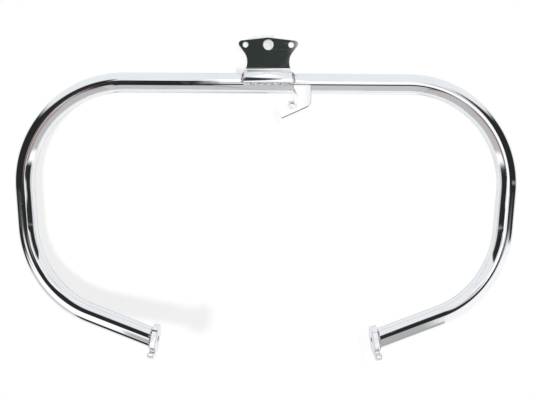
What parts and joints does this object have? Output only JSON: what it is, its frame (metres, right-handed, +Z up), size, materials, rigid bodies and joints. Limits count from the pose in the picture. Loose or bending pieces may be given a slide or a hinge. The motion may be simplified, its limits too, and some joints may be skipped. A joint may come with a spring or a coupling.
{
  "type": "motorcycle crash bars",
  "caption": "Chromed tube bent into a wide arch, with a drilled centre plate, a small tab and thick end lugs, to guard the engine and the rider's legs.",
  "frame": {"origin": "middle of the centre plate's two bolt holes, on the plate's flat back face", "axes": "+X to the right as seen from the front of the motorcycle, +Y rearward out of the plate's back face, +Z up"},
  "size_m": [0.8026, 0.0966, 0.5112],
  "materials": {
    "tube_chrome": "mirror-polished chrome plate",
    "plate_chrome": "chrome plate over flat sheet",
    "weld_chrome": "chrome plate over rippled weld",
    "tab_chrome": "chrome plate over flat bar",
    "insert_steel": "bright zinc",
    "lug_chrome": "chrome plate over thick bar"
  },
  "bodies": {
    "root": {"main_tube": "tube_chrome", "centre_plate": "plate_chrome", "saddle_front_weld": "weld_chrome", "saddle_left_weld": "weld_chrome", "saddle_right_weld": "weld_chrome", "saddle_rear_weld": "weld_chrome", "tab_bracket": "tab_chrome", "tab_insert": "insert_steel", "tab_top_weld": "weld_chrome", "tab_side_weld": "weld_chrome", "left_end_lug": "lug_chrome", "right_end_lug": "lug_chrome", "left_lug_weld": "weld_chrome", "right_lug_weld": "weld_chrome"}
  },
  "joints": []
}
